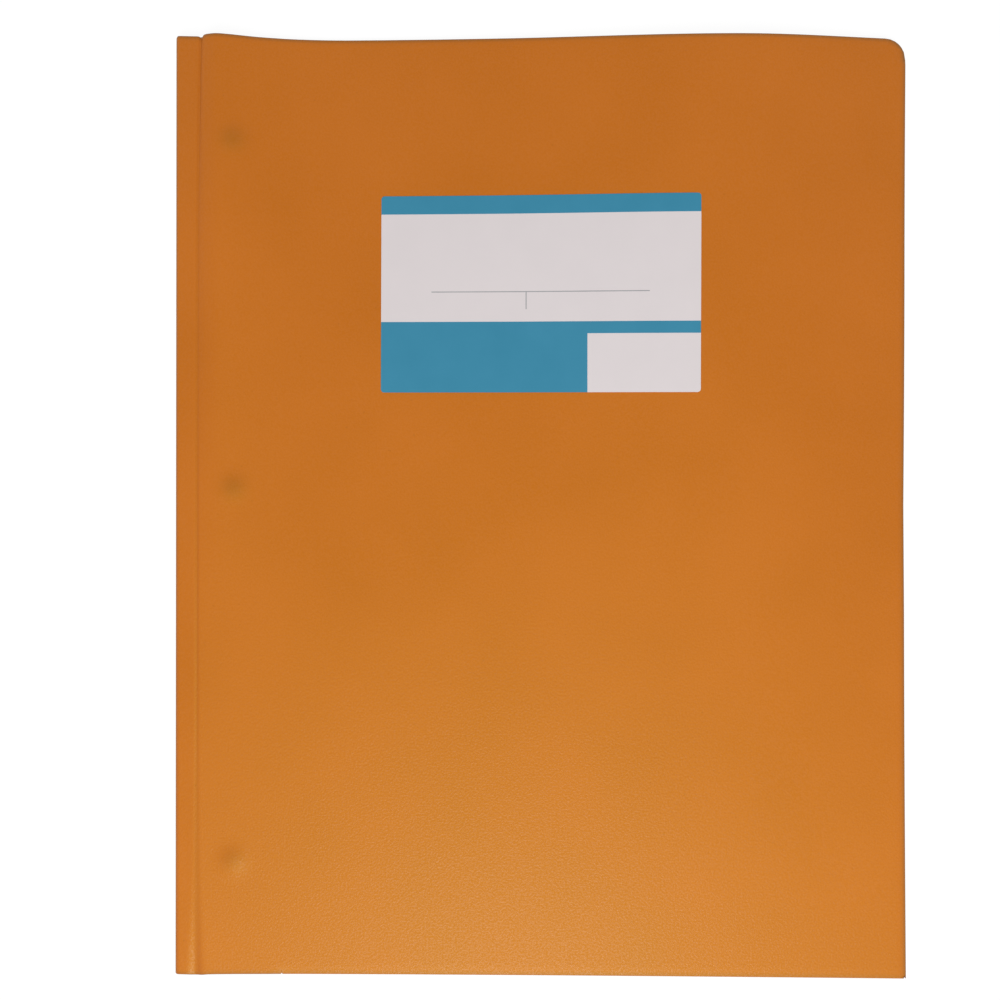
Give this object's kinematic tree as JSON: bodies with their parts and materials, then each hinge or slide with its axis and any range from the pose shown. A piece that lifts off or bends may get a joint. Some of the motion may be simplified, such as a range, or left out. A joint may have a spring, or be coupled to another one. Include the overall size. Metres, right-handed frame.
{
  "type": "pocket folder",
  "caption": "Plastic pocket folder that opens at a scored spine, with welded inner pockets, bendable metal prongs for punched sheets and a blank label on its cover.",
  "frame": {"origin": "under the middle of the closed folder, on the outer face of the back cover", "axes": "+X from the spine to the free edge, +Y from the bottom fold to the top edge, +Z out of the front cover"},
  "size_m": [0.23, 0.295, 0.0077],
  "materials": {
    "orange_sheet": "fine sand grain",
    "fastener_steel": "tinned",
    "label_paper": "coated"
  },
  "bodies": {
    "back_cover": {"back_cover": "orange_sheet", "back_pocket_fold": "orange_sheet", "back_pocket_panel": "orange_sheet", "back_pocket_welds": "orange_sheet", "prong_strip": "orange_sheet", "top_fastener_base": "fastener_steel", "middle_fastener_base": "fastener_steel", "bottom_fastener_base": "fastener_steel"},
    "binding_edge": {"binding_edge": "orange_sheet"},
    "front_cover": {"front_cover": "orange_sheet", "front_label": "label_paper", "front_pocket_fold": "orange_sheet", "front_pocket_panel": "orange_sheet", "front_pocket_welds": "orange_sheet"},
    "back_pocket_corner": {"back_pocket_corner": "orange_sheet"},
    "front_pocket_corner": {"front_pocket_corner": "orange_sheet"},
    "top_fastener_upper_tang": {"top_fastener_upper_tang": "fastener_steel"},
    "top_fastener_lower_tang": {"top_fastener_lower_tang": "fastener_steel"},
    "middle_fastener_upper_tang": {"middle_fastener_upper_tang": "fastener_steel"},
    "middle_fastener_lower_tang": {"middle_fastener_lower_tang": "fastener_steel"},
    "bottom_fastener_upper_tang": {"bottom_fastener_upper_tang": "fastener_steel"},
    "bottom_fastener_lower_tang": {"bottom_fastener_lower_tang": "fastener_steel"}
  },
  "joints": [
    {"name": "spine_fold", "type": "hinge", "parent": "back_cover", "child": "binding_edge", "pos_m": [-0.1145, 0, 0.0005], "axis": [0, -1, 0], "range_deg": [0, 88]},
    {"name": "cover_hinge", "type": "hinge", "parent": "binding_edge", "child": "front_cover", "pos_m": [-0.107, 0, 0.0051], "axis": [0, 1, 0], "range_deg": [-130, 0]},
    {"name": "back_pocket_flex", "type": "hinge", "parent": "back_cover", "child": "back_pocket_corner", "pos_m": [-0.081, -0.13985, 0.00105], "axis": [0.8805, 0.474, 0], "range_deg": [0, 10]},
    {"name": "front_pocket_flex", "type": "hinge", "parent": "front_cover", "child": "front_pocket_corner", "pos_m": [-0.081, -0.13985, 0.00445], "axis": [-0.8805, -0.474, 0], "range_deg": [0, 10]},
    {"name": "top_fastener_upper_bend", "type": "hinge", "parent": "back_cover", "child": "top_fastener_upper_tang", "pos_m": [-0.0965, 0.1147, 0.0015], "axis": [1, 0, 0], "range_deg": [0, 90]},
    {"name": "top_fastener_lower_bend", "type": "hinge", "parent": "back_cover", "child": "top_fastener_lower_tang", "pos_m": [-0.0965, 0.1047, 0.0015], "axis": [-1, 0, 0], "range_deg": [0, 90]},
    {"name": "middle_fastener_upper_bend", "type": "hinge", "parent": "back_cover", "child": "middle_fastener_upper_tang", "pos_m": [-0.0965, 0.0067, 0.0015], "axis": [1, 0, 0], "range_deg": [0, 90]},
    {"name": "middle_fastener_lower_bend", "type": "hinge", "parent": "back_cover", "child": "middle_fastener_lower_tang", "pos_m": [-0.0965, -0.0033, 0.0015], "axis": [-1, 0, 0], "range_deg": [0, 90]},
    {"name": "bottom_fastener_upper_bend", "type": "hinge", "parent": "back_cover", "child": "bottom_fastener_upper_tang", "pos_m": [-0.0965, -0.1013, 0.0015], "axis": [1, 0, 0], "range_deg": [0, 90]},
    {"name": "bottom_fastener_lower_bend", "type": "hinge", "parent": "back_cover", "child": "bottom_fastener_lower_tang", "pos_m": [-0.0965, -0.1113, 0.0015], "axis": [-1, 0, 0], "range_deg": [0, 90]}
  ],
  "couplings": [
    {"joint": "back_pocket_flex", "follows": "spine_fold", "ratio": 0.11},
    {"joint": "front_pocket_flex", "follows": "spine_fold", "ratio": 0.11},
    {"joint": "top_fastener_upper_bend", "follows": "spine_fold", "ratio": 1},
    {"joint": "top_fastener_lower_bend", "follows": "spine_fold", "ratio": 1},
    {"joint": "middle_fastener_upper_bend", "follows": "spine_fold", "ratio": 1},
    {"joint": "middle_fastener_lower_bend", "follows": "spine_fold", "ratio": 1},
    {"joint": "bottom_fastener_upper_bend", "follows": "spine_fold", "ratio": 1},
    {"joint": "bottom_fastener_lower_bend", "follows": "spine_fold", "ratio": 1}
  ]
}
